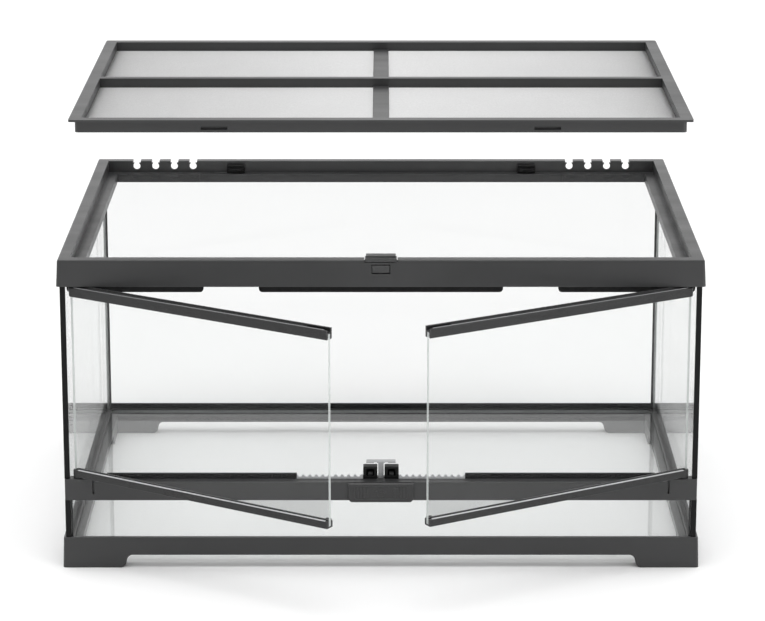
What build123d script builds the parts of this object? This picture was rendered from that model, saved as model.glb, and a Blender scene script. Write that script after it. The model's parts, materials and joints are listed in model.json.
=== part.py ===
"""Glass small-pet cage with a lift-off mesh lid and two front doors, in millimetres.

Frame: origin on the floor under the centre of the tank, +Z up, +X to the viewer's right, front at -Y.
Rest pose: both doors stand part open and the lid is held above the tank.
"""

import os

from build123d import *

# ---------------------------------------------------------------- driving dimensions
WIDTH = 610.0  # outer, along X
DEPTH = 457.0  # outer, along Y
FRAME_TOP = 303.5  # height of the tank without its lid
WALL = 2.5  # moulded wall thickness
GLASS = 4.0  # pane thickness
GLASS_INSET = 3.5  # outer face of the frame to outer face of a side or rear pane
CORNER_R = 3.0  # vertical corners of the frames

LEFT_OPEN = 32.5  # degrees that the left door stands open at rest
RIGHT_OPEN = 31.0  # and the right door
LID_LIFT = 130.0  # height of the lid over its seat at rest

# base frame
BASE_TOP = 30.0
BASE_DRAFT = 2.0  # degrees of the base's outer faces
ARCH = 12.6  # clearance under the base between its feet
FOOT_END_X = 245.5  # inner end of a foot along the front
FOOT_END_Y = 169.0  # inner end of a foot along a side
FOOT_SLOPE = 3.0
FOOT_R = 5.5
FLOOR_Z = 20.0  # underside of the floor pane
LEDGE_T = 3.0
LEDGE_W = 14.0

# top frame
FRAME_BOTTOM = 278.0
DRAFT = 3.2  # degrees of the top frame's outer faces
RIM_W = 13.0  # flat rim around the lid's recess
SEAT_Z = 291.4  # ledge that the lid stands on
SEAT_W = 10.0
SEAT_T = 2.4
RECESS_T = 2.0  # wall between the rim and the seat
LIP_BOTTOM = 282.7  # lower edge of the lip under the seat
STOP_BOTTOM = 270.0  # lower edge of the door stop behind the doors' top rails
STOP_Y = (-217.0, -214.5)
STOP_GAP = (115.0, 167.0)  # X of each gap between the stops
STOP_END = 296.0
SOCKET_TOP = 289.5  # blocks that hold the doors' upper pins

# cable inlets
INLET_X = 231.75  # centre of a row of inlets
INLET_PITCH = 20.1
INLET_COUNT = 4
INLET_Z = 298.2
INLET_D = 7.6
INLET_NECK = 5.2
INLET_REAR = 8.4  # width of the notch behind the inner wall and of the mouth
INLET_MOUTH = 1.8  # depth of the mouth
STRIP_W = 76.0  # strip under a row of inlets

# lid
LID_GAP = 1.0  # clearance of the lid's flange in the recess
FLANGE_W = 11.5
FLANGE_T = 2.0
FLANGE_TOP = 304.5
SKIRT_INSET = 5.5
SKIRT_T = 2.0
SKIRT_BOTTOM = 291.6
SKIRT_R = 4.0
INNER_T = 2.0  # wall inside the skirt
MESH_LIP = 2.5  # lip under the mesh
MESH_Z = (294.8, 295.3)
BAR_W = 9.0  # bar along X
CROSS_W = 15.5  # flat strip along Y
TAB_X = 155.5
TAB_W = 19.0
TAB_Z = (294.8, 296.8)  # tongue
TAB_TOP = 300.2
TAB_DEPTH = 5.5
TAB_REACH = 10.0
SLOT_W = 25.0
SLOT_Z = (294.2, 297.3)

# lid clip
CLIP_AXIS = (-223.5, 297.0)  # Y and Z of its trunnions
CLIP_W = 30.0
TONGUE_W = 16.0
TONGUE_Z = (291.4, 298.4)
HEAD_Z = (301.8, 305.0)
HOOK_TOP = 306.6

# middle rail
RAIL_Y = (-227.5, -216.5)
RAIL_BOTTOM = 67.5
LEDGE_Z = 85.6
BLOCK_TOP = 88.4
BLOCK_INNER = 274.0
RAIL_END = 301.5
LOWER_PANE_TOP = 74.0
VENT_END = 262.0
VENT_TOP = 91.0
COMB_END = 80.5
COMB_TOP = 89.4
COMB_PITCH = 6.2

# doors
PIVOT_X = 289.0
PIVOT_Y = -222.0
PIN_D = 5.0
PIN_HOLE = 5.1
RAIL_T = 9.0  # thickness of a door rail
DOOR_GAP = 1.2  # half of the gap between the closed doors
TOP_RAIL = (267.5, 276.4)
BOTTOM_RAIL = (90.2, 96.8)
RAIL_LIP = 1.3  # rear lip over the top rail
GRIP = 5.0  # glass held in a rail
POCKET = 25.0

# latch
HOUSING_X = (3.4, 17.0)
HOUSING_Y = (-217.0, -207.0)
HOUSING_TOP = 97.6
SHELF_BOTTOM = 82.0
BOX_BOTTOM = 64.0
SLIDER_Z = (77.5, 80.5)
TOOTH_X = (8.0, 12.4)
TOOTH_Y = (-214.0, -211.2)
TOOTH_TOP = 92.0
PLATE_HALF = 31.5
PLATE_Z = (66.0, 84.9)

# ---------------------------------------------------------------- derived places
HALF_W = WIDTH / 2
HALF_D = DEPTH / 2
PANE_X = HALF_W - GLASS_INSET  # outer faces of the side panes
PANE_IN = PANE_X - GLASS
PANE_REAR = HALF_D - GLASS_INSET  # outer face of the rear pane
PANE_FRONT = -223.0  # front edges of the side panes and front face of the lower pane
PANE_TOP = SEAT_Z - SEAT_T - 0.2
FLOOR_TOP = FLOOR_Z + GLASS
RECESS_X = HALF_W - RIM_W
RECESS_Y = HALF_D - RIM_W
SEAT_X = RECESS_X - SEAT_W
SEAT_Y = RECESS_Y - SEAT_W
LID_X = RECESS_X - LID_GAP
LID_Y = RECESS_Y - LID_GAP


def slab(x, y, z, mode=Mode.ADD):
    """A box between (low, high) limits along each axis."""
    with Locations((sum(x) / 2, sum(y) / 2, sum(z) / 2)):
        Box(x[1] - x[0], y[1] - y[0], z[1] - z[0], mode=mode)


def pair(x, y, z, mode=Mode.ADD):
    """The same box on both sides of the YZ plane."""
    slab(x, y, z, mode)
    slab((-x[1], -x[0]), y, z, mode)


def upright(x, y, diameter, z, mode=Mode.ADD):
    """A vertical cylinder between two heights."""
    with Locations((x, y, sum(z) / 2)):
        Cylinder(diameter / 2, z[1] - z[0], mode=mode)


def ring(outer, inner, z, radius=0.0):
    """A flat frame between two heights, from its outer and inner half sizes."""
    with BuildSketch(Plane.XY.offset(z[0])) as profile:
        if radius:
            RectangleRounded(2 * outer[0], 2 * outer[1], radius)
        else:
            Rectangle(2 * outer[0], 2 * outer[1])
        Rectangle(2 * inner[0], 2 * inner[1], mode=Mode.SUBTRACT)
    extrude(profile.sketch, amount=z[1] - z[0])


def save(part, name):
    """Labels a finished piece and writes it as its own STEP file."""
    part.label = name
    export_step(part, f"parts/{name}.step")


def save_both(right, name):
    """Writes a piece of the right side and its mirror image for the left side."""
    save(mirror(right, about=Plane.YZ), f"left_{name}")
    save(right, f"right_{name}")


def save_door(right, name):
    """Swings a closed door piece to each side's rest angle and writes both."""
    hinge = Axis((PIVOT_X, PIVOT_Y, 0), (0, 0, 1))
    save(mirror(right.rotate(hinge, LEFT_OPEN), about=Plane.YZ), f"left_{name}")
    save(right.rotate(hinge, RIGHT_OPEN), f"right_{name}")


def save_lifted(part, name):
    """Raises a lid piece from its seat to its rest height and writes it."""
    save(part.moved(Location((0, 0, LID_LIFT))), name)


# ---------------------------------------------------------------- base
def foot_arch(plane, end, reach):
    """Cuts the arch between two feet through opposite walls."""
    with BuildSketch(plane) as profile:
        with BuildLine():
            curve = FilletPolyline(
                (-end - 20, 0),
                (-end, 0),
                (-end + FOOT_SLOPE, ARCH),
                (end - FOOT_SLOPE, ARCH),
                (end, 0),
                (end + 20, 0),
                radius=FOOT_R,
            )
            Polyline(curve @ 1, (end + 20, -5), (-end - 20, -5), curve @ 0)
        make_face()
    extrude(profile.sketch, amount=reach, both=True, mode=Mode.SUBTRACT)


def make_base_frame():
    wall_in = (HALF_W - WALL, HALF_D - WALL)
    ledge_in = (wall_in[0] - LEDGE_W, wall_in[1] - LEDGE_W)
    with BuildPart() as base_frame:
        with BuildSketch() as profile:
            RectangleRounded(WIDTH, DEPTH, CORNER_R)
        extrude(profile.sketch, amount=BASE_TOP, taper=BASE_DRAFT)
        fillet(base_frame.edges().group_by(Axis.Z)[-1], 0.8)
        inside = (-1, BASE_TOP + 1)
        slab((-wall_in[0], wall_in[0]), (-wall_in[1], wall_in[1]), inside, Mode.SUBTRACT)
        ring((ledge_in[0] + 2, ledge_in[1] + 2), ledge_in, (0, FLOOR_Z))
        ring(wall_in, ledge_in, (FLOOR_Z - LEDGE_T, FLOOR_Z))
        ring(wall_in, ledge_in, (0, 2))
        ring(wall_in, (PANE_X + 0.3, PANE_REAR + 0.3), (BASE_TOP - WALL, BASE_TOP))
        front = (-wall_in[1], PANE_FRONT - 0.3)
        slab((-wall_in[0], wall_in[0]), front, (BASE_TOP - WALL, BASE_TOP))
        # stiffening webs across the hollow under the ledge
        web_z = (2, FLOOR_Z - LEDGE_T)
        for x in range(-240, 241, 60):
            for y in (-wall_in[1], ledge_in[1]):
                slab((x - 0.8, x + 0.8), (y, y + LEDGE_W), web_z)
        for y in range(-180, 181, 60):
            pair((ledge_in[0], wall_in[0]), (y - 0.8, y + 0.8), web_z)
        foot_arch(Plane.XZ, FOOT_END_X, DEPTH)
        foot_arch(Plane.YZ, FOOT_END_Y, WIDTH)
    save(base_frame.part, "base_frame")


# ---------------------------------------------------------------- glass
def make_pane(name, x, y, z):
    with BuildPart() as pane:
        slab(x, y, z)
        chamfer(pane.edges(), 0.4)
    save(pane.part, name)


def make_side_panes():
    with BuildPart() as side_pane:
        slab((PANE_IN, PANE_X), (PANE_FRONT, PANE_REAR), (FLOOR_Z, PANE_TOP))
        chamfer(side_pane.edges(), 0.4)
    save_both(side_pane.part, "pane")


def make_cross_panes():
    seam = 0.5  # silicone between the panes' edges
    x = (-PANE_IN + seam, PANE_IN - seam)
    rear_in = PANE_REAR - GLASS
    lower_in = PANE_FRONT + GLASS
    make_pane("rear_pane", x, (rear_in, PANE_REAR), (FLOOR_Z, PANE_TOP))
    make_pane("front_lower_pane", x, (PANE_FRONT, lower_in), (FLOOR_Z, LOWER_PANE_TOP))
    make_pane("floor_pane", x, (lower_in + seam, rear_in - seam), (FLOOR_Z, FLOOR_TOP))


def make_corner_bead(name, y_face, forward, top):
    """A vertical silicone fillet between a side pane and the pane whose inner face is at y_face."""
    leg = 2.2
    with BuildPart() as bead:
        with BuildSketch(Plane.XY.offset(FLOOR_TOP)) as profile:
            with BuildLine():
                corner = (PANE_IN, y_face)
                near = (PANE_IN - leg, y_face)
                far = (PANE_IN, y_face + forward * leg)
                Polyline(near, corner, far)
                ThreePointArc(far, (PANE_IN - 0.9, y_face + forward * 0.9), near)
            make_face()
        extrude(profile.sketch, amount=top - FLOOR_TOP)
    save_both(bead.part, name)


def make_floor_bead():
    """A flat silicone bead around the floor pane, between the corner beads."""
    x = PANE_IN
    front = PANE_FRONT + GLASS
    rear = PANE_REAR - GLASS
    with BuildPart() as bead:
        slab((-x + 0.1, x - 0.1), (front + 0.1, rear - 0.1), (FLOOR_TOP, FLOOR_TOP + 1.4))
        inner_z = (FLOOR_TOP - 1, FLOOR_TOP + 3)
        slab((-x + 2.6, x - 2.6), (front + 2.6, rear - 2.6), inner_z, Mode.SUBTRACT)
        for y in (front, rear):
            pair((x - 3.0, x + 1), (y - 3.0, y + 3.0), inner_z, Mode.SUBTRACT)
            # bridge behind the corner bead so that the ring stays one piece
        for y in ((front + 2.6, front + 5.0), (rear - 5.0, rear - 2.6)):
            pair((x - 5.0, x - 2.8), y, (FLOOR_TOP, FLOOR_TOP + 1.0))
            pair((x - 5.0, x - 0.6), (y[0] + 0.4, y[1] - 0.4), (FLOOR_TOP, FLOOR_TOP + 1.0))
        pair((x - 5.0, x - 3.0), (front + 0.6, front + 4.6), (FLOOR_TOP, FLOOR_TOP + 1.0))
        pair((x - 5.0, x - 3.0), (rear - 4.6, rear - 0.6), (FLOOR_TOP, FLOOR_TOP + 1.0))
    save(bead.part, "floor_bead")


def make_edge_trim(name, z):
    """A strip over the front edge of a side pane."""
    with BuildPart() as trim:
        slab((PANE_IN - 0.8, PANE_X + 0.4), (PANE_FRONT - 2.7, PANE_FRONT), z)
        chamfer(trim.edges().filter_by(Axis.Z).group_by(Axis.Y)[0], 0.6)
    save_both(trim.part, name)


# ---------------------------------------------------------------- top frame
def frame_shell(shell):
    """Drafted outer wall and rim, open below and above."""
    with BuildSketch(Plane.XY.offset(FRAME_BOTTOM)) as profile:
        RectangleRounded(WIDTH, DEPTH, CORNER_R)
    extrude(profile.sketch, amount=FRAME_TOP - FRAME_BOTTOM, taper=DRAFT)
    fillet(shell.edges().group_by(Axis.Z)[-1], 1.6)
    with BuildSketch(Plane.XY.offset(FRAME_BOTTOM)) as profile:
        Rectangle(WIDTH - 2 * WALL, DEPTH - 2 * WALL)
    extrude(profile.sketch, amount=FRAME_TOP - FRAME_BOTTOM - WALL, taper=DRAFT, mode=Mode.SUBTRACT)
    recess_z = (FRAME_TOP - WALL - 1, FRAME_TOP + 1)
    slab((-RECESS_X, RECESS_X), (-RECESS_Y, RECESS_Y), recess_z, Mode.SUBTRACT)


def frame_seat():
    """Recess wall, ledge for the lid and the lip under the ledge."""
    wall_out = (RECESS_X + RECESS_T, RECESS_Y + RECESS_T)
    ring(wall_out, (RECESS_X, RECESS_Y), (SEAT_Z - SEAT_T, FRAME_TOP - 0.5))
    ring(wall_out, (SEAT_X, SEAT_Y), (SEAT_Z - SEAT_T, SEAT_Z))
    ring((SEAT_X + 2, SEAT_Y + 2), (SEAT_X, SEAT_Y), (LIP_BOTTOM, SEAT_Z - 0.5))


def stop_outline(low, high):
    """Outline of one door stop in the XZ plane, rounded at its free lower corners."""
    top = SEAT_Z - SEAT_T
    with BuildSketch(Plane.XZ.offset(-STOP_Y[0])) as profile:
        with Locations(((low + high) / 2, (STOP_BOTTOM + top) / 2)):
            Rectangle(high - low, top - STOP_BOTTOM)
        fillet(profile.vertices().group_by(Axis.Z)[0], 3.5)
    extrude(profile.sketch, amount=-(STOP_Y[1] - STOP_Y[0]))


def make_door_stops():
    """Plates behind the doors' top rails, in three lengths."""
    with BuildPart() as side_stop:
        stop_outline(STOP_GAP[1], STOP_END)
    save_both(side_stop.part, "door_stop")
    with BuildPart() as middle_stop:
        stop_outline(-STOP_GAP[0], STOP_GAP[0])
    save(middle_stop.part, "middle_door_stop")


def hinge_sockets():
    """Blocks in the front wall that take the doors' upper pins."""
    block = (PIVOT_X - 6, PIVOT_X + 6)
    pair(block, (-HALF_D + WALL - 0.3, STOP_Y[0]), (FRAME_BOTTOM + 0.2, SOCKET_TOP))
    for side in (-1, 1):
        hole = (FRAME_BOTTOM - 1, SOCKET_TOP - 1.5)
        upright(side * PIVOT_X, PIVOT_Y, PIN_HOLE, hole, Mode.SUBTRACT)


def cable_inlets():
    """Two rows of keyholes in the inner rear wall, each with a wider notch behind it."""
    low = INLET_X - STRIP_W / 2
    floor = SEAT_Z - SEAT_T
    pair((low, low + STRIP_W), (RECESS_Y, HALF_D - WALL), (floor, FRAME_TOP - 1))
    top = FRAME_TOP - INLET_Z + 1
    for side in (-1, 1):
        with BuildSketch(Plane.XZ.offset(-RECESS_Y + 2)) as profile:
            with Locations((side * INLET_X, INLET_Z)):
                with GridLocations(INLET_PITCH, 1, INLET_COUNT, 1):
                    Circle(INLET_D / 2)
                    Rectangle(INLET_NECK, top, align=(Align.CENTER, Align.MIN))
            with Locations((side * INLET_X, FRAME_TOP - INLET_MOUTH)):
                with GridLocations(INLET_PITCH, 1, INLET_COUNT, 1):
                    Rectangle(INLET_REAR, 4, align=(Align.CENTER, Align.MIN))
        extrude(profile.sketch, amount=-(RIM_W + 6), mode=Mode.SUBTRACT)
        for index in range(INLET_COUNT):
            x = side * INLET_X + (index - (INLET_COUNT - 1) / 2) * INLET_PITCH
            notch_x = (x - INLET_REAR / 2, x + INLET_REAR / 2)
            notch_y = (RECESS_Y + WALL, HALF_D + 2)
            slab(notch_x, notch_y, (floor + 0.3, FRAME_TOP + 1), Mode.SUBTRACT)


def clip_opening():
    """Window for the clip's tongue, a notch for its head, and cheeks for its trunnions."""
    y, z = CLIP_AXIS
    half = TONGUE_W / 2 + 0.8
    pair((half, half + 3.2), (y - 2.5, y + 4), (z - 4, FRAME_TOP - 1.5))
    slab((-half, half), (-HALF_D - 1, y + 5), (TONGUE_Z[0] - 1.2, TONGUE_Z[1] + 0.8), Mode.SUBTRACT)
    slab((-half, half), (y - 2.6, y + 5), (TONGUE_Z[0] - 1.2, FRAME_TOP + 1), Mode.SUBTRACT)
    head = CLIP_W / 2 + 0.6
    slab((-head, head), (-HALF_D - 1, -RECESS_Y + 1), (HEAD_Z[0] - 0.8, FRAME_TOP + 1), Mode.SUBTRACT)
    with Locations((0, y, z)):
        Cylinder(1.06, 2 * (half + 2.4), rotation=(0, 90, 0), mode=Mode.SUBTRACT)


def make_top_frame():
    with BuildPart() as top_frame:
        frame_shell(top_frame)
        frame_seat()
        hinge_sockets()
        cable_inlets()
        clip_opening()
    save(top_frame.part, "top_frame")


def make_rear_tab():
    """A block on the rear wall whose tongue enters a slot in the lid's skirt."""
    x = (TAB_X - TAB_W / 2, TAB_X + TAB_W / 2)
    face = RECESS_Y - TAB_DEPTH
    with BuildPart() as rear_tab:
        slab(x, (face, RECESS_Y), (SEAT_Z, TAB_TOP))
        chamfer(rear_tab.edges().group_by(Axis.Z)[-1].group_by(Axis.Y)[0], 0.8)
        slab((x[0] + 1, x[1] - 1), (RECESS_Y - TAB_REACH, face + 1), TAB_Z)
        chamfer(rear_tab.edges().filter_by(Axis.Z).group_by(Axis.Y)[0], 1.6)
    save_both(rear_tab.part, "rear_tab")


def make_inlet_strip():
    """A strip below a row of cable inlets, with an arc pressed in under each of them."""
    face = SEAT_Y - 1.4
    low = INLET_X - STRIP_W / 2
    with BuildPart() as strip:
        slab((low, low + STRIP_W), (face, SEAT_Y), (LIP_BOTTOM + 0.8, SEAT_Z - 0.4))
        with BuildSketch(Plane.XZ.offset(-face)) as profile:
            with Locations((INLET_X, SEAT_Z + 0.6)):
                with GridLocations(INLET_PITCH, 1, INLET_COUNT, 1):
                    Circle(5.6)
                    Circle(4.9, mode=Mode.SUBTRACT)
                    Rectangle(12, 9, align=(Align.CENTER, Align.MIN), mode=Mode.SUBTRACT)
        extrude(profile.sketch, amount=-0.5, mode=Mode.SUBTRACT)
    save_both(strip.part, "inlet_strip")


def make_lid_clip():
    """A rocking clip: pressing its tongue raises the hook from the lid's flange."""
    y, z = CLIP_AXIS
    half = TONGUE_W / 2
    front = -HALF_D + 1.0
    with BuildPart() as lid_clip:
        slab((-half, half), (front, front + 2.2), TONGUE_Z)
        slab((-half + 2, half - 2), (front + 2, y + 1.5), (z - 3, z + 1.4))
        slab((-half, half), (y - 1, y + 1.5), (z - 1.5, HEAD_Z[0] + 0.6))
        slab((-CLIP_W / 2, CLIP_W / 2), (front + 0.2, -RECESS_Y - 0.8), HEAD_Z)
        slab((-CLIP_W / 2 + 1, CLIP_W / 2 - 1), (y + 1.5, -RECESS_Y + 3), (FLANGE_TOP + 0.3, HOOK_TOP))
        slab((-CLIP_W / 2 + 1, CLIP_W / 2 - 1), (y + 1.5, -RECESS_Y - 0.8), (HEAD_Z[1] - 0.5, HOOK_TOP))
        chamfer(lid_clip.edges().group_by(Axis.Z)[-1].filter_by(Axis.X), 0.6)
        with Locations((0, y, z)):
            Cylinder(1.0, TONGUE_W + 4.6, rotation=(0, 90, 0))
    save(lid_clip.part, "lid_clip")


# ---------------------------------------------------------------- lid
def lid_slots():
    """Slots through the front and rear skirt for the rear tabs."""
    x = (TAB_X - SLOT_W / 2, TAB_X + SLOT_W / 2)
    skirt_y = LID_Y - SKIRT_INSET
    pair(x, (skirt_y - SKIRT_T - 0.5, skirt_y + 1), SLOT_Z, Mode.SUBTRACT)
    pair(x, (-skirt_y - 1, -skirt_y + SKIRT_T + 0.5), SLOT_Z, Mode.SUBTRACT)


def make_lid_frame():
    inner = (LID_X - FLANGE_W, LID_Y - FLANGE_W)
    inner_out = (inner[0] + INNER_T, inner[1] + INNER_T)
    skirt = (LID_X - SKIRT_INSET, LID_Y - SKIRT_INSET)
    skirt_in = (skirt[0] - SKIRT_T, skirt[1] - SKIRT_T)
    lip = (inner[0] - MESH_LIP, inner[1] - MESH_LIP)
    lip_z = (MESH_Z[0] - 1.6, MESH_Z[0])
    with BuildPart() as lid_frame:
        ring((LID_X, LID_Y), inner, (FLANGE_TOP - FLANGE_T, FLANGE_TOP), 2.5)
        ring(skirt, skirt_in, (SKIRT_BOTTOM, FLANGE_TOP - FLANGE_T + 0.5), SKIRT_R)
        ring(inner_out, inner, (lip_z[0], FLANGE_TOP - 0.5))
        ring(inner_out, lip, lip_z)
        bar_y = (-BAR_W / 2, BAR_W / 2)
        slab((-inner_out[0] + 0.5, inner_out[0] - 0.5), bar_y, (lip_z[0], FLANGE_TOP))
        hollow = (lip_z[0] - 1, FLANGE_TOP - 2)
        slab((-inner[0] + 2, inner[0] - 2), (bar_y[0] + 2, bar_y[1] - 2), hollow, Mode.SUBTRACT)
        lid_slots()
    save_lifted(lid_frame.part, "lid_frame")


def make_lid_strip():
    """A flat strip along Y on each side of the bar, lying on the mesh."""
    reach = LID_Y - FLANGE_W
    for name, y in (("front", (-reach, -BAR_W / 2)), ("rear", (BAR_W / 2, reach))):
        with BuildPart() as strip:
            slab((-CROSS_W / 2, CROSS_W / 2), y, (MESH_Z[1], MESH_Z[1] + 1.6))
            chamfer(strip.edges().group_by(Axis.Z)[-1].filter_by(Axis.Y), 0.5)
        save_lifted(strip.part, f"lid_strip_{name}")


def make_lid_mesh():
    """Sheets in place of the woven wire, one on each side of the bar."""
    x = LID_X - FLANGE_W
    reach = LID_Y - FLANGE_W
    for name, y in (("front", (-reach, -BAR_W / 2)), ("rear", (BAR_W / 2, reach))):
        with BuildPart() as sheet:
            slab((-x, x), y, MESH_Z)
        save_lifted(sheet.part, f"lid_mesh_{name}")


# ---------------------------------------------------------------- middle rail
def rail_body():
    """Hollow rail over the lower pane with a solid hinge block at each end."""
    slab((-RAIL_END, RAIL_END), RAIL_Y, (RAIL_BOTTOM, LEDGE_Z))
    pair((BLOCK_INNER, RAIL_END), RAIL_Y, (LEDGE_Z - 1, BLOCK_TOP))
    lower_in = PANE_FRONT + GLASS
    hollow_y = (RAIL_Y[0] + WALL, lower_in)
    hollow_x = BLOCK_INNER - 4
    slab((-hollow_x, hollow_x), hollow_y, (RAIL_BOTTOM - 1, LEDGE_Z - WALL), Mode.SUBTRACT)
    slab((-PANE_IN, PANE_IN), (PANE_FRONT, lower_in), (RAIL_BOTTOM - 1, LOWER_PANE_TOP), Mode.SUBTRACT)
    pair((PANE_IN, RAIL_END + 1), (PANE_FRONT, RAIL_Y[1] + 1), (RAIL_BOTTOM - 1, BLOCK_TOP + 1), Mode.SUBTRACT)
    for x in range(40, 260, 40):
        pair((x - 0.8, x + 0.8), hollow_y, (LOWER_PANE_TOP, LEDGE_Z - 1))


def make_rail_comb():
    """Scalloped plate behind the ledge, beside the latch."""
    with BuildPart() as comb:
        x = (HOUSING_X[1], COMB_END)
        slab(x, (RAIL_Y[1], RAIL_Y[1] + 2.5), (LEDGE_Z - 6, COMB_TOP))
        for index in range(int((COMB_END - HOUSING_X[1]) / COMB_PITCH)):
            scallop_x = COMB_END - (index + 0.5) * COMB_PITCH
            with Locations((scallop_x, RAIL_Y[1] + 1.25, COMB_TOP)):
                Cylinder(2.1, 4, rotation=(90, 0, 0), mode=Mode.SUBTRACT)
    save_both(comb.part, "rail_comb")


def rail_latch_box():
    """Shelf for the catch housings and the box below it for slider and spring."""
    half = HOUSING_X[1]
    rear = HOUSING_Y[1] + 1.5
    slab((-half, half), (RAIL_Y[1] - 0.5, rear), (SHELF_BOTTOM, LEDGE_Z))
    pair((half - 2, half), (RAIL_Y[1], rear), (BOX_BOTTOM, LEDGE_Z - 1))
    slab((-half, half), (rear - 2, rear), (BOX_BOTTOM, LEDGE_Z - 1))
    slab((-half, half), (RAIL_Y[1], rear), (BOX_BOTTOM, BOX_BOTTOM + 2))
    # ways for the slider's web, stem and teeth
    web_z = (LOWER_PANE_TOP + 0.2, SLIDER_Z[1] + 0.7)
    slab((-3.2, 3.2), (RAIL_Y[0] - 1, RAIL_Y[1] + 0.5), web_z, Mode.SUBTRACT)
    way_z = (SHELF_BOTTOM - 1, LEDGE_Z + 1)
    slab((-3.1, 3.1), (-214.6, -209.4), way_z, Mode.SUBTRACT)
    tooth_x = (TOOTH_X[0] - 0.6, TOOTH_X[1] + 0.6)
    pair(tooth_x, (TOOTH_Y[0] - 0.6, TOOTH_Y[1] + 0.6), way_z, Mode.SUBTRACT)


def make_mid_rail():
    with BuildPart() as mid_rail:
        rail_body()
        rail_latch_box()
        # slit between the hinge block and the rail's face
        slit = (BLOCK_INNER - 0.5, BLOCK_INNER + 1.3)
        pair(slit, (RAIL_Y[0] - 1, RAIL_Y[0] + 3), (LOWER_PANE_TOP, BLOCK_TOP + 1), Mode.SUBTRACT)
        for side in (-1, 1):
            hole = (LOWER_PANE_TOP + 4, BLOCK_TOP + 1)
            upright(side * PIVOT_X, PIVOT_Y, PIN_HOLE, hole, Mode.SUBTRACT)
    save(mid_rail.part, "mid_rail")


def make_vent_strip():
    """A dark strip behind the rail, with a row of slots towards the cage."""
    with BuildPart() as strip:
        y = (RAIL_Y[1], RAIL_Y[1] + 2.8)
        slab((COMB_END, VENT_END), y, (LEDGE_Z - 5.6, VENT_TOP))
        chamfer(strip.edges().group_by(Axis.Z)[-1].filter_by(Axis.X), 0.6)
        x = COMB_END + 6
        while x < VENT_END - 4:
            slab((x, x + 2.4), (y[1] - 0.9, y[1] + 1), (LEDGE_Z - 3, VENT_TOP - 1.6), Mode.SUBTRACT)
            x += COMB_PITCH
    save_both(strip.part, "vent_strip")


# ---------------------------------------------------------------- latch
def make_catch_housing():
    """An open-fronted box that a door's strike enters."""
    x, y = HOUSING_X, HOUSING_Y
    with BuildPart() as housing:
        slab(x, y, (LEDGE_Z, HOUSING_TOP))
        chamfer(housing.edges().group_by(Axis.Z)[-1], 0.7)
        inner_z = (LEDGE_Z + 1.5, HOUSING_TOP - 1.5)
        slab((x[0] + 1.5, x[1] - 1.5), (y[0] + 1.5, y[1] - 1.5), inner_z, Mode.SUBTRACT)
        slab((x[0] + 3, x[1] - 3), (y[0] - 1, y[0] + 3), (LEDGE_Z + 3, HOUSING_TOP - 2), Mode.SUBTRACT)
        way_y = (TOOTH_Y[0] - 0.6, TOOTH_Y[1] + 0.6)
        slab((TOOTH_X[0] - 0.6, TOOTH_X[1] + 0.6), way_y, (LEDGE_Z - 1, LEDGE_Z + 3), Mode.SUBTRACT)
    save_both(housing.part, "catch_housing")


def make_latch_slider():
    """Web through the rail and arms with the two teeth."""
    with BuildPart() as slider:
        slab((-2.6, 2.6), (RAIL_Y[0] - 0.2, -210), SLIDER_Z)
        slab((-TOOTH_X[1], TOOTH_X[1]), TOOTH_Y, SLIDER_Z)
        pair(TOOTH_X, TOOTH_Y, (SLIDER_Z[0], TOOTH_TOP))
        teeth = slider.edges().group_by(Axis.Z)[-1].filter_by(Axis.X).group_by(Axis.Y)[0]
        chamfer(teeth, 1.2)
    save(slider.part, "latch_slider")


def make_latch_bar():
    """Stem that stands on the slider, with a cross bar above the housings."""
    with BuildPart() as bar:
        slab((-2.6, 2.6), (-214, -210), (SLIDER_Z[1], HOUSING_TOP + 4))
        slab((-14, 14), (-215, -209), (HOUSING_TOP + 3.1, HOUSING_TOP + 5.1))
        chamfer(bar.edges().group_by(Axis.Z)[-1], 0.5)
        pair((3.8, 6.6), (-216, -208), (HOUSING_TOP + 3, HOUSING_TOP + 3.9), Mode.SUBTRACT)
    save(bar.part, "latch_bar")


def paw_print(plane):
    """A plain paw: one pad and four toes."""
    with BuildSketch(plane) as profile:
        with Locations((0, 73.6)):
            Ellipse(3.3, 2.4)
        for x, z in ((-3.9, 76.2), (-1.4, 78.4), (1.4, 78.4), (3.9, 76.2)):
            with Locations((x, z)):
                Ellipse(0.95, 1.35)
    extrude(profile.sketch, amount=0.5)


def make_latch_plate():
    """Finger plate on the front of the rail: a raised frame around a small relief."""
    front = RAIL_Y[0] - 2.4
    back = RAIL_Y[0] - 0.2
    with BuildPart() as plate:
        with BuildSketch(Plane.XZ.offset(-back)) as profile:
            with BuildLine():
                Polyline(
                    (-PLATE_HALF, PLATE_Z[1]),
                    (PLATE_HALF, PLATE_Z[1]),
                    (PLATE_HALF, PLATE_Z[0] + 3),
                    (PLATE_HALF - 3, PLATE_Z[0]),
                    (-PLATE_HALF + 3, PLATE_Z[0]),
                    (-PLATE_HALF, PLATE_Z[0] + 3),
                    close=True,
                )
            make_face()
        extrude(profile.sketch, amount=back - front)
        chamfer(plate.edges().group_by(Axis.Y)[0], 0.8)
        with BuildSketch(Plane.XZ.offset(-front)) as profile:
            with Locations((0, 75.6)):
                RectangleRounded(50, 12.4, 1.5)
        extrude(profile.sketch, amount=-0.7, mode=Mode.SUBTRACT)
        for x in (12.5, 15.5, 18.5, 21.5):
            pair((x, x + 1.2), (front, front + 0.8), (70.8, 80.4))
        paw_print(Plane.XZ.offset(-front - 0.7))
    save(plate.part, "latch_plate")


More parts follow.
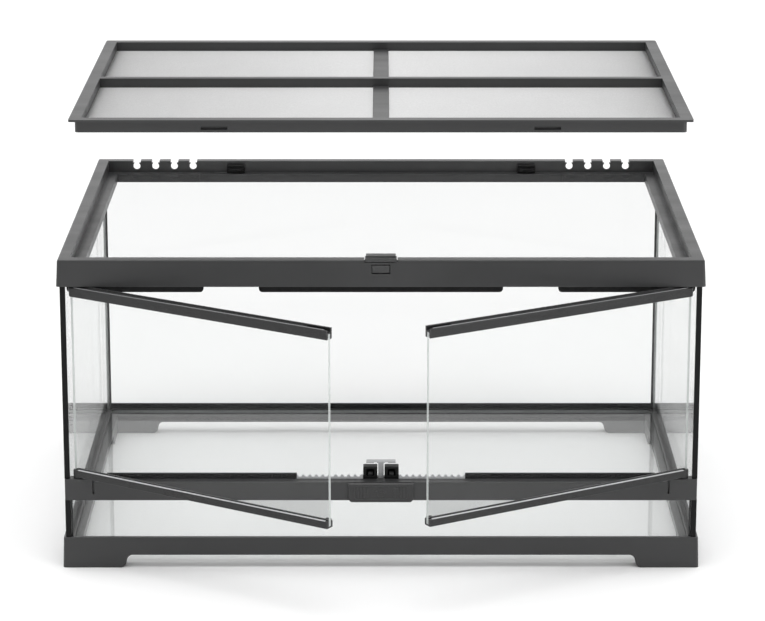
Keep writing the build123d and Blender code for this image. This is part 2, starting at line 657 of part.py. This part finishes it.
def make_latch_spring():
    """Coil spring that presses the slider up."""
    low = BOX_BOTTOM + 2
    wire = 0.4
    with BuildPart() as spring:
        with BuildLine():
            coil = Helix(2.1, SLIDER_Z[0] - low - 2 * wire, 2.2, center=(0, -212, low + wire))
        with BuildSketch(Plane(origin=coil @ 0, z_dir=coil % 0)):
            Circle(wire)
        sweep(is_frenet=True)
    save(spring.part, "latch_spring")


# ---------------------------------------------------------------- doors
def door_bar(z):
    """A rail of the right door with a round hinge end."""
    x = (DOOR_GAP, PIVOT_X)
    slab(x, (PIVOT_Y - RAIL_T / 2, PIVOT_Y + RAIL_T / 2), z)
    upright(PIVOT_X, PIVOT_Y, RAIL_T, z)


def make_door_bottom_rail():
    low, high = BOTTOM_RAIL
    with BuildPart() as rail:
        door_bar(BOTTOM_RAIL)
        upright(PIVOT_X, PIVOT_Y, RAIL_T, (BLOCK_TOP + 0.2, low + 1))
        upright(PIVOT_X, PIVOT_Y, PIN_D, (LOWER_PANE_TOP + 6, low + 1))
        chamfer(rail.edges().group_by(Axis.Z)[-1], 0.5)
        glass_y = (PIVOT_Y - GLASS / 2, PIVOT_Y + GLASS / 2)
        slab((DOOR_GAP - 1, PIVOT_X + 2.5), glass_y, (high - GRIP, high + 1), Mode.SUBTRACT)
    save_door(rail.part, "door_bottom_rail")


def make_door_top_rail():
    low, high = TOP_RAIL
    rear = PIVOT_Y + RAIL_T / 2
    with BuildPart() as rail:
        door_bar(TOP_RAIL)
        upright(PIVOT_X, PIVOT_Y, PIN_D, (high - 1, SOCKET_TOP - 3.5))
        front_edge = rail.edges().filter_by(Axis.X).group_by(Axis.Y)[0]
        chamfer(front_edge, 0.6)
        slab((DOOR_GAP, PIVOT_X - 8), (rear - 2, rear), (high - 1, high + RAIL_LIP))
        pocket_y = (PIVOT_Y - RAIL_T / 2 + 1.6, rear - 2)
        slab((DOOR_GAP - 1, DOOR_GAP + POCKET), pocket_y, (high - 2.6, high + 1), Mode.SUBTRACT)
        glass_y = (PIVOT_Y - GLASS / 2, PIVOT_Y + GLASS / 2)
        slab((DOOR_GAP - 1, PIVOT_X + 2.5), glass_y, (low - 1, low + GRIP), Mode.SUBTRACT)
    save_door(rail.part, "door_top_rail")


def make_door_glass():
    z = (BOTTOM_RAIL[1] - GRIP, TOP_RAIL[0] + GRIP)
    with BuildPart() as pane:
        slab((DOOR_GAP, PIVOT_X + 2.5), (PIVOT_Y - GLASS / 2, PIVOT_Y + GLASS / 2), z)
        chamfer(pane.edges().filter_by(Axis.Z), 0.3)
    save_door(pane.part, "door_glass")


def make_door_strike():
    """Hooked strike behind the free end of the bottom rail."""
    rear = PIVOT_Y + RAIL_T / 2
    hook = (TOOTH_Y[1] + 0.3, TOOTH_Y[1] + 2.0)
    x = (TOOTH_X[0] - 0.2, TOOTH_X[1] + 0.2)
    with BuildPart() as strike:
        slab((x[0] - 1.2, x[1] + 1.2), (rear, rear + 0.4), (BOTTOM_RAIL[0] + 0.6, BOTTOM_RAIL[1] - 0.8))
        slab(x, (rear, hook[1]), (TOOTH_TOP + 0.4, TOOTH_TOP + 2.6))
        slab(x, hook, (TOOTH_TOP - 2.2, TOOTH_TOP + 2.6))
        chamfer(strike.edges().group_by(Axis.Z)[0].group_by(Axis.Y)[-1], 1.0)
    save_door(strike.part, "door_strike")


# ---------------------------------------------------------------- build all
os.makedirs("parts", exist_ok=True)

make_base_frame()
make_side_panes()
make_cross_panes()
make_corner_bead("rear_bead", PANE_REAR - GLASS, -1, LIP_BOTTOM - 0.5)
make_corner_bead("front_bead", PANE_FRONT + GLASS, 1, RAIL_BOTTOM)
make_floor_bead()
make_edge_trim("upper_trim", (BLOCK_TOP, FRAME_BOTTOM + 3))
make_edge_trim("lower_trim", (BASE_TOP, RAIL_BOTTOM))

make_top_frame()
make_door_stops()
make_rear_tab()
make_inlet_strip()
make_lid_clip()

make_lid_frame()
make_lid_strip()
make_lid_mesh()

make_mid_rail()
make_rail_comb()
make_vent_strip()
make_catch_housing()
make_latch_slider()
make_latch_bar()
make_latch_plate()
make_latch_spring()

make_door_bottom_rail()
make_door_top_rail()
make_door_glass()
make_door_strike()
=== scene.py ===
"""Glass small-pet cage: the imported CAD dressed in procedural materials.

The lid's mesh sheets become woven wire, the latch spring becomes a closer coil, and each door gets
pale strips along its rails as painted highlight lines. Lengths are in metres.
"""

import json
import math

import bmesh
import bpy
from mathutils import Matrix, Vector


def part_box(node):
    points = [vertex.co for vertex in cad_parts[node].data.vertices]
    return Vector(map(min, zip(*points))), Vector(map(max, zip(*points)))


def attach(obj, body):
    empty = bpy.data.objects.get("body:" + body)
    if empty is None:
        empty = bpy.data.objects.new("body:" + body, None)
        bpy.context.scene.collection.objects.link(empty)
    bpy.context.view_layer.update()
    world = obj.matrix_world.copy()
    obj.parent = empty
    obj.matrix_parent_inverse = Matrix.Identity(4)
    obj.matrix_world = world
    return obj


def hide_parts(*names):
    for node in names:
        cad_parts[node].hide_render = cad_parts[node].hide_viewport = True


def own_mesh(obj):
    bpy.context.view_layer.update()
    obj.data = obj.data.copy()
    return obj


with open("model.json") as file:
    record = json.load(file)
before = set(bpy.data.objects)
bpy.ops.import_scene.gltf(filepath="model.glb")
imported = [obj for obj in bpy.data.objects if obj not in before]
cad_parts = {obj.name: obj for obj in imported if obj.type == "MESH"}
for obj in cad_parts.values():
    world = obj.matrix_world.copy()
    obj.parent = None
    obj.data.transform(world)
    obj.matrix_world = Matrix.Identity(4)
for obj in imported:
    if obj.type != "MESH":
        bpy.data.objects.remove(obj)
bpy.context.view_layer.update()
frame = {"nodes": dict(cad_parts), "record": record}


# ---------------------------------------------------------------- shader building
class Nodes:
    """A material's node tree, built by short calls."""

    def __init__(self, name):
        self.material = bpy.data.materials.new(name)
        self.material.use_nodes = True
        self.tree = self.material.node_tree
        self.tree.nodes.clear()
        self.out = self.tree.nodes.new("ShaderNodeOutputMaterial")
        self.coords = self.tree.nodes.new("ShaderNodeTexCoord")

    def link(self, source, target):
        """Join an output to an input."""
        self.tree.links.new(source, target)

    def add(self, kind, **settings):
        """A new node with some of its settings changed."""
        node = self.tree.nodes.new(kind)
        for key, value in settings.items():
            setattr(node, key, value)
        return node

    def put(self, socket, value):
        """Feed an input from another node's output, or set it to a plain value."""
        if hasattr(value, "is_linked"):
            self.link(value, socket)
        else:
            socket.default_value = value

    def math(self, operation, a, b=0.0):
        """One sum on plain values or outputs."""
        node = self.add("ShaderNodeMath", operation=operation)
        self.put(node.inputs[0], a)
        self.put(node.inputs[1], b)
        return node.outputs[0]

    def dot(self, a, b):
        """How far two directions agree, from -1 to 1."""
        node = self.add("ShaderNodeVectorMath", operation="DOT_PRODUCT")
        self.put(node.inputs[0], a)
        self.put(node.inputs[1], b)
        return node.outputs["Value"]

    def noise(self, scale, detail=3.0, roughness=0.5, stretch=None):
        """Noise in the object's own space, from about 0.3 to 0.7."""
        node = self.add("ShaderNodeTexNoise")
        node.inputs["Scale"].default_value = scale
        node.inputs["Detail"].default_value = detail
        node.inputs["Roughness"].default_value = roughness
        vector = self.coords.outputs["Object"]
        if stretch:
            mapping = self.add("ShaderNodeMapping")
            mapping.inputs["Scale"].default_value = stretch
            self.link(vector, mapping.inputs["Vector"])
            vector = mapping.outputs[0]
        self.link(vector, node.inputs["Vector"])
        return node.outputs["Fac"]

    def span(self, value, low, high, from_low=0.3, from_high=0.7):
        """Map a value, by default a noise, onto the range low to high."""
        node = self.add("ShaderNodeMapRange")
        self.put(node.inputs["Value"], value)
        node.inputs["From Min"].default_value = from_low
        node.inputs["From Max"].default_value = from_high
        node.inputs["To Min"].default_value = low
        node.inputs["To Max"].default_value = high
        return node.outputs[0]

    def blend(self, factor, a, b):
        """Mix two colours."""
        node = self.add("ShaderNodeMix", data_type="RGBA")
        self.put(node.inputs["Factor"], factor)
        self.put(node.inputs["A"], a)
        self.put(node.inputs["B"], b)
        return node.outputs["Result"]

    def bevel(self, radius):
        """The surface normal as if edges were rounded."""
        node = self.add("ShaderNodeBevel", samples=6)
        node.inputs["Radius"].default_value = radius
        return node.outputs[0]

    def bump(self, height, strength, distance, normal=None):
        """The normal of a surface raised by a height, over another normal if one is given."""
        node = self.add("ShaderNodeBump")
        node.inputs["Strength"].default_value = strength
        node.inputs["Distance"].default_value = distance
        self.link(height, node.inputs["Height"])
        if normal is not None:
            self.link(normal, node.inputs["Normal"])
        return node.outputs[0]

    def principled(self, color, roughness, normal=None, **values):
        """A principled shader, its inputs named as in Blender with underscores for spaces."""
        shader = self.add("ShaderNodeBsdfPrincipled")
        self.put(shader.inputs["Base Color"], color)
        self.put(shader.inputs["Roughness"], roughness)
        if normal is not None:
            self.link(normal, shader.inputs["Normal"])
        for key, value in values.items():
            shader.inputs[key.replace("_", " ")].default_value = value
        return shader.outputs[0]

    def mix(self, factor, a, b):
        """Mix two shaders."""
        node = self.add("ShaderNodeMixShader")
        self.link(factor, node.inputs[0])
        self.link(a, node.inputs[1])
        self.link(b, node.inputs[2])
        return node.outputs[0]

    def surface(self, shader):
        """Use a shader as the surface and hand back the finished material."""
        self.link(shader, self.out.inputs["Surface"])
        return self.material


def grey(value, tint=(1.0, 1.0, 1.0)):
    """An opaque colour of one brightness, tinted a little if asked."""
    return tuple(value * channel for channel in tint) + (1.0,)


def moulded(name, shade, rough, edge=0.0007, wear_and_highlight_gain=1.9, specular=0.5):
    """Moulded plastic: fine spark-eroded grain, faint flow marks and soft edges, lightened partly as slight
    wear and partly as painted highlight.
    """
    n = Nodes(name)
    cool = (0.99, 1.0, 1.02)
    grains = n.noise(2850.0, detail=2.0, roughness=0.6)
    cloud = n.noise(11.0, detail=4.0, roughness=0.55)
    flow = n.noise(26.0, detail=3.0, roughness=0.6, stretch=(0.16, 1.0, 1.0))
    soft = n.bevel(edge)
    geometry = n.add("ShaderNodeNewGeometry")
    # the softened normal leaves the true one only close to an edge
    wear_and_highlight_mask = n.span(n.dot(soft, geometry.outputs["True Normal"]), 1.0, 0.0, from_low=0.86, from_high=0.99)
    base = n.blend(n.span(cloud, 0.0, 1.0), grey(shade * 0.9, cool), grey(shade * 1.1, cool))
    base = n.blend(n.math("MULTIPLY", n.span(grains, 0.0, 1.0), 0.35), base, grey(shade * 1.35, cool))
    # edges lightened near the bevel: partly slight wear, partly painted highlight lines, stronger where the
    # gain is raised
    base = n.blend(n.math("MULTIPLY", wear_and_highlight_mask, 0.5), base, grey(shade * wear_and_highlight_gain, cool))
    roughness = n.math("ADD", n.span(flow, *rough), n.span(grains, -0.03, 0.03))
    relief = n.bump(grains, strength=0.16, distance=0.000012, normal=soft)
    return n.surface(n.principled(base, roughness, relief, IOR=1.48, Specular_IOR_Level=specular))


def silicone(name):
    """Black silicone with the slight waviness of a tooled bead."""
    n = Nodes(name)
    wave = n.noise(180.0, stretch=(1.0, 1.0, 0.25))
    fine = n.noise(1400.0, detail=2.0)
    base = n.blend(n.span(wave, 0.0, 1.0), grey(0.012), grey(0.028))
    relief = n.bump(wave, strength=0.5, distance=0.0003)
    return n.surface(n.principled(base, n.span(fine, 0.26, 0.42), relief))


def pane_glass(name, axis, clear):
    """Clear glass seen straight through, with ground edges where the surface turns from the pane's axis."""
    n = Nodes(name)
    facing = n.add("ShaderNodeLayerWeight")
    facing.inputs["Blend"].default_value = 0.5
    grazing = n.math("POWER", facing.outputs["Facing"], 5.0)
    smear = n.noise(9.0, detail=4.0, roughness=0.6)
    mirrored = n.math("ADD", n.math("MULTIPLY", grazing, 0.8), n.span(smear, 0.004, 0.01))
    through = n.add("ShaderNodeBsdfTransparent")
    through.inputs["Color"].default_value = (clear * 0.997, clear, clear * 0.999, 1.0)
    gloss = n.add("ShaderNodeBsdfGlossy")
    gloss.inputs["Color"].default_value = grey(1.0)
    n.link(n.span(smear, 0.0, 0.03), gloss.inputs["Roughness"])
    face = n.mix(mirrored, through.outputs[0], gloss.outputs[0])
    # ground edge: pale, slightly green, partly clear
    ground = n.noise(900.0, detail=3.0, roughness=0.6)
    pale = n.blend(n.span(ground, 0.0, 1.0), (0.5, 0.53, 0.52, 1.0), (0.66, 0.69, 0.68, 1.0))
    rim = n.principled(pale, n.span(ground, 0.18, 0.34), Alpha=0.8)
    along = n.math("ABSOLUTE", n.dot(n.coords.outputs["Normal"], axis))
    return n.surface(n.mix(n.math("LESS_THAN", along, 0.5), face, rim))


def metal(name, shade, rough=(0.25, 0.4), metallic=1.0):
    """Drawn or woven metal with a fine grain."""
    n = Nodes(name)
    streak = n.noise(700.0, detail=3.0, roughness=0.6)
    cloud = n.noise(14.0)
    base = n.blend(n.span(streak, 0.0, 1.0), grey(shade * 0.9), grey(shade * 1.06))
    base = n.blend(n.span(cloud, 0.0, 0.5), base, grey(shade * 0.94))
    relief = n.bump(streak, strength=0.15, distance=0.00004)
    return n.surface(n.principled(base, n.span(streak, *rough), relief, Metallic=metallic))


def floor_material():
    """Matt studio paper, almost white."""
    n = Nodes("studio_floor")
    base = n.blend(n.noise(3.0), grey(0.93), grey(0.95))
    return n.surface(n.principled(base, 0.9, Specular_IOR_Level=0.1))


# ---------------------------------------------------------------- materials
SLOTS = {entry["node"]: entry["material_slot"] for entry in frame["record"]["subparts"]}

finishes = {
    "frame_plastic": moulded("frame_plastic", 0.03, rough=(0.34, 0.44)),
    "lid_plastic": moulded("lid_plastic", 0.033, rough=(0.36, 0.46)),
    "dark_plastic": moulded("dark_plastic", 0.006, rough=(0.34, 0.44), specular=0.15),
    "comb_plastic": moulded("comb_plastic", 0.5, rough=(0.4, 0.5), edge=0.0003),
    "grey_plastic": moulded("grey_plastic", 0.34, rough=(0.3, 0.42), edge=0.0003),
    # the plate and the door rails get strongly lightened edges: painted highlight lines
    "plate_plastic": moulded("plate_plastic", 0.02, rough=(0.26, 0.34), edge=0.0005, wear_and_highlight_gain=6.0),
    "clip_plastic": moulded("clip_plastic", 0.036, rough=(0.34, 0.44), edge=0.0006),
    "rail_plastic": moulded("rail_plastic", 0.02, rough=(0.24, 0.32), edge=0.001, wear_and_highlight_gain=5.0, specular=0.35),
    # pale strips for the doors: painted highlight lines along the rails, the upper one painted dimmer
    "lower_bead_highlight": moulded("lower_bead_highlight", 0.5, rough=(0.2, 0.3), edge=0.0002),
    "upper_bead_highlight": moulded("upper_bead_highlight", 0.22, rough=(0.2, 0.3), edge=0.0002),
    "silicone": silicone("silicone"),
    "wire_mesh": metal("wire_mesh", 0.77, rough=(0.5, 0.65), metallic=0.3),
    "spring_steel": metal("spring_steel", 0.6),
}

# each joint by the body it moves
joints = {joint["child"]: joint for joint in frame["record"]["behaviour"]["joints"]}


def open_angle(door):
    """How far a door stands open at rest, in radians."""
    return -math.radians(joints[door]["range_deg"][0])


left_turn = open_angle("left_door")
right_turn = open_angle("right_door")
# the direction through each pane, and the share of light that each of its two faces lets through; the side
# and rear panes let less through, as a slight grey tint deepened by painted shade
PANES = {
    "left_pane": ((1.0, 0.0, 0.0), 0.88),
    "right_pane": ((1.0, 0.0, 0.0), 0.88),
    "rear_pane": ((0.0, 1.0, 0.0), 0.89),
    "front_lower_pane": ((0.0, 1.0, 0.0), 0.99),
    "floor_pane": ((0.0, 0.0, 1.0), 0.985),
    "left_door_glass": ((math.sin(left_turn), math.cos(left_turn), 0.0), 0.995),
    "right_door_glass": ((-math.sin(right_turn), math.cos(right_turn), 0.0), 0.995),
}


def dress(node, material):
    """Give a CAD node its material."""
    obj = frame["nodes"][node]
    obj.data.materials.clear()
    obj.data.materials.append(material)


for node, slot in SLOTS.items():
    if node.endswith("_door_top_rail") or node.endswith("_door_bottom_rail"):
        dress(node, finishes["rail_plastic"])
    elif node in PANES:
        dress(node, pane_glass(f"glass_{node}", *PANES[node]))
    else:
        dress(node, finishes[slot])


# ---------------------------------------------------------------- round wire
UP = Vector((0.0, 0.0, 1.0))


def ring(mesh, centre, across, radius, sides):
    """A circle of points in the upright plane through the direction across."""
    points = []
    for k in range(sides):
        angle = 2 * math.pi * k / sides
        offset = across * math.cos(angle) + UP * math.sin(angle)
        points.append(mesh.verts.new(centre + offset * radius))
    return points


def skin(mesh, rings):
    """Join rings of points into a tube with closed ends."""
    sides = len(rings[0])
    for a, b in zip(rings, rings[1:]):
        for k in range(sides):
            following = (k + 1) % sides
            face = mesh.faces.new((a[k], a[following], b[following], b[k]))
            face.smooth = True
    mesh.faces.new(list(reversed(rings[0])))
    mesh.faces.new(rings[-1])


def mesh_object(name, mesh, finish):
    """Turn a finished bmesh into an object in the scene."""
    bmesh.ops.recalc_face_normals(mesh, faces=mesh.faces)
    data = bpy.data.meshes.new(name)
    mesh.to_mesh(data)
    mesh.free()
    data.materials.append(finishes[finish])
    obj = bpy.data.objects.new(name, data)
    bpy.context.scene.collection.objects.link(obj)
    return obj


# ---------------------------------------------------------------- woven lid mesh
WIRE = 0.00034  # diameter
PITCH = 0.0014
WEAVE_RISE = WIRE * 0.4  # one set of wires above the middle of the sheet, the other below


def wire_panel(name, node):
    """Crossing straight wires in place of the sheet, each wire a six-sided bar."""
    low, high = (Vector(corner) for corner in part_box(node))
    mesh = bmesh.new()
    for run, step, rise in ((0, 1, WEAVE_RISE), (1, 0, -WEAVE_RISE)):
        count = int((high[step] - low[step]) / PITCH)
        across = Vector((0.0, 0.0, 0.0))
        across[step] = 1.0 if step == 0 else -1.0
        for i in range(count):
            start = Vector((low.x, low.y, (low.z + high.z) / 2 + rise))
            start[step] = low[step] + (i + 0.5) * (high[step] - low[step]) / count
            end = start.copy()
            end[run] = high[run]
            skin(mesh, [ring(mesh, point, across, WIRE / 2, 6) for point in (start, end)])
    obj = mesh_object(name, mesh, "wire_mesh")
    obj.visible_shadow = False
    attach(obj, "lid")
    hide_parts(node)


wire_panel("lid_wires_front", "lid_mesh_front")
wire_panel("lid_wires_rear", "lid_mesh_rear")


# ---------------------------------------------------------------- pale rail strips, painted highlight lines
RAIL_THICK = 0.009  # a door's rail, front to back
GLASS_GRIP = 0.005  # glass held in the bottom rail
TOP_COVER = 0.0039  # top rail above the glass
BEAD_HIGH = 0.0007
BEAD_RISE = 0.0002  # middle of a bead above its rail's edge
BEAD_SHORT = 0.006  # less than the rail's reach
# front and back of each strip, from the hinge line of the closed door
LOWER_BEAD_HIGHLIGHT = (-0.0039, -0.0021)
UPPER_BEAD_HIGHLIGHT = (-0.0037, -0.0029)


def highlight_bead(door, name, z, front, back):
    """A pale strip along a door rail as a painted highlight line, laid out closed and swung open with the
    door.
    """
    side = -1 if door == "left_door" else 1
    pivot = Vector(joints[door]["pos_m"])
    turn = open_angle(door)
    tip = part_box(f"{door}_top_rail")[0][1]
    reach = (pivot.y - tip - RAIL_THICK / 2 * math.cos(turn)) / math.sin(turn)
    bpy.ops.mesh.primitive_cube_add(size=1)
    obj = bpy.context.object
    obj.name = f"{door}_{name}"
    size = Matrix.Diagonal((reach - BEAD_SHORT, back - front, BEAD_HIGH, 1))
    closed = Matrix.Translation((-side * reach / 2, (front + back) / 2, z))
    swing = Matrix.Translation((pivot.x, pivot.y, 0)) @ Matrix.Rotation(side * turn, 4, "Z")
    for step in (size, closed, swing):
        obj.data.transform(step)
    obj.data.materials.append(finishes[name])
    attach(obj, door)


for door in ("left_door", "right_door"):
    glass_low, glass_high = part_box(f"{door}_glass")
    highlight_bead(door, "lower_bead_highlight", glass_low[2] + GLASS_GRIP + BEAD_RISE, *LOWER_BEAD_HIGHLIGHT)
    highlight_bead(door, "upper_bead_highlight", glass_high[2] + TOP_COVER + BEAD_RISE, *UPPER_BEAD_HIGHLIGHT)


# ---------------------------------------------------------------- latch spring
SPRING_WIRE = 0.00038  # radius
SPRING_TURNS = 5
TURN_STEPS = 24
CLOSED_ENDS = 0.6  # how much flatter the coil runs at its ends, from 0 to 1


def coil_spring():
    """A round-wire coil over the CAD spring, fixed to the tank; the latch presses the real spring together,
    but the coil keeps its shape.
    """
    low, high = (Vector(corner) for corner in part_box("latch_spring"))
    radius = (high.x - low.x) / 2 - SPRING_WIRE
    centre = (low + high) / 2
    bottom, top = low.z + SPRING_WIRE, high.z - SPRING_WIRE
    mesh = bmesh.new()
    rings = []
    count = SPRING_TURNS * TURN_STEPS
    for i in range(count + 1):
        share = i / count
        angle = 2 * math.pi * SPRING_TURNS * share
        outward = Vector((math.cos(angle), math.sin(angle), 0))
        lag = math.sin(2 * math.pi * share) / (2 * math.pi) * CLOSED_ENDS
        height = bottom + (share - lag) * (top - bottom)
        point = Vector((centre.x, centre.y, height)) + outward * radius
        rings.append(ring(mesh, point, outward, SPRING_WIRE, 10))
    skin(mesh, rings)
    obj = mesh_object("latch_coil", mesh, "spring_steel")
    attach(obj, "tank")
    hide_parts("latch_spring")
    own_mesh(obj)


coil_spring()


# ---------------------------------------------------------------- stage, light, camera
FLOOR_SIZE = 24
FLOOR_DROP = 0.0002  # keeps the floor clear of the feet


def make_floor():
    bpy.ops.mesh.primitive_plane_add(size=FLOOR_SIZE, location=(0, 4, -FLOOR_DROP))
    floor = bpy.context.object
    floor.name = "studio_floor"
    floor.data.materials.append(floor_material())


def make_world():
    """An even bright room, dimmer in front, with a soft overhead light."""
    world = bpy.data.worlds.new("studio")
    bpy.context.scene.world = world
    world.use_nodes = True
    tree = world.node_tree
    tree.nodes.clear()
    coords = tree.nodes.new("ShaderNodeTexCoord")

    def glow(direction, low, high, dim, bright):
        """Brightness that grows from dim to bright as the view turns towards a direction."""
        along = tree.nodes.new("ShaderNodeVectorMath")
        along.operation = "DOT_PRODUCT"
        along.inputs[1].default_value = direction
        tree.links.new(coords.outputs["Generated"], along.inputs[0])
        ramp = tree.nodes.new("ShaderNodeMapRange")
        ramp.interpolation_type = "SMOOTHSTEP"
        ramp.inputs["From Min"].default_value = low
        ramp.inputs["From Max"].default_value = high
        ramp.inputs["To Min"].default_value = dim
        ramp.inputs["To Max"].default_value = bright
        tree.links.new(along.outputs["Value"], ramp.inputs["Value"])
        return ramp.outputs[0]

    total = tree.nodes.new("ShaderNodeMath")
    total.operation = "ADD"
    room = glow((0.0, 1.0, 0.0), low=-1.0, high=0.0, dim=0.35, bright=1.08)
    overhead = glow((0.0, -0.25, 0.968), low=0.88, high=0.985, dim=0.0, bright=2.4)
    tree.links.new(room, total.inputs[0])
    tree.links.new(overhead, total.inputs[1])
    background = tree.nodes.new("ShaderNodeBackground")
    background.inputs["Color"].default_value = grey(1.0)
    tree.links.new(total.outputs[0], background.inputs["Strength"])
    out = tree.nodes.new("ShaderNodeOutputWorld")
    tree.links.new(background.outputs[0], out.inputs["Surface"])


def area_light(name, location, target, size, power):
    """A soft rectangular lamp turned to a point on the cage, itself out of sight."""
    light = bpy.data.lights.new(name, "AREA")
    light.shape = "RECTANGLE"
    light.size, light.size_y = size
    light.energy = power
    obj = bpy.data.objects.new(name, light)
    obj.location = location
    direction = Vector(target) - Vector(location)
    obj.rotation_euler = direction.to_track_quat("-Z", "Y").to_euler()
    obj.visible_camera = False
    bpy.context.scene.collection.objects.link(obj)


def make_camera():
    """A long lens in front of the cage, looking down on it a little."""
    look_down = 14.8
    camera = bpy.data.cameras.new("camera")
    camera.sensor_fit = "HORIZONTAL"
    camera.sensor_width = 36.0
    camera.lens = 148.4
    camera.clip_end = 60.0
    obj = bpy.data.objects.new("camera", camera)
    obj.location = (0.0015, -3.093, 1.012)
    obj.rotation_euler = (math.radians(90.0 - look_down), 0.0, 0.0)
    bpy.context.scene.collection.objects.link(obj)
    bpy.context.scene.camera = obj


make_floor()
make_world()
area_light("key", (-0.2, -0.5, 2.6), target=(0, 0, 0.1), size=(1.6, 0.9), power=6.0)
area_light("side", (2.4, -2.2, 0.6), target=(0, 0, 0.2), size=(1.2, 1.0), power=14.0)
make_camera()

view = bpy.context.scene.view_settings
view.view_transform = "Standard"
view.look = "None"
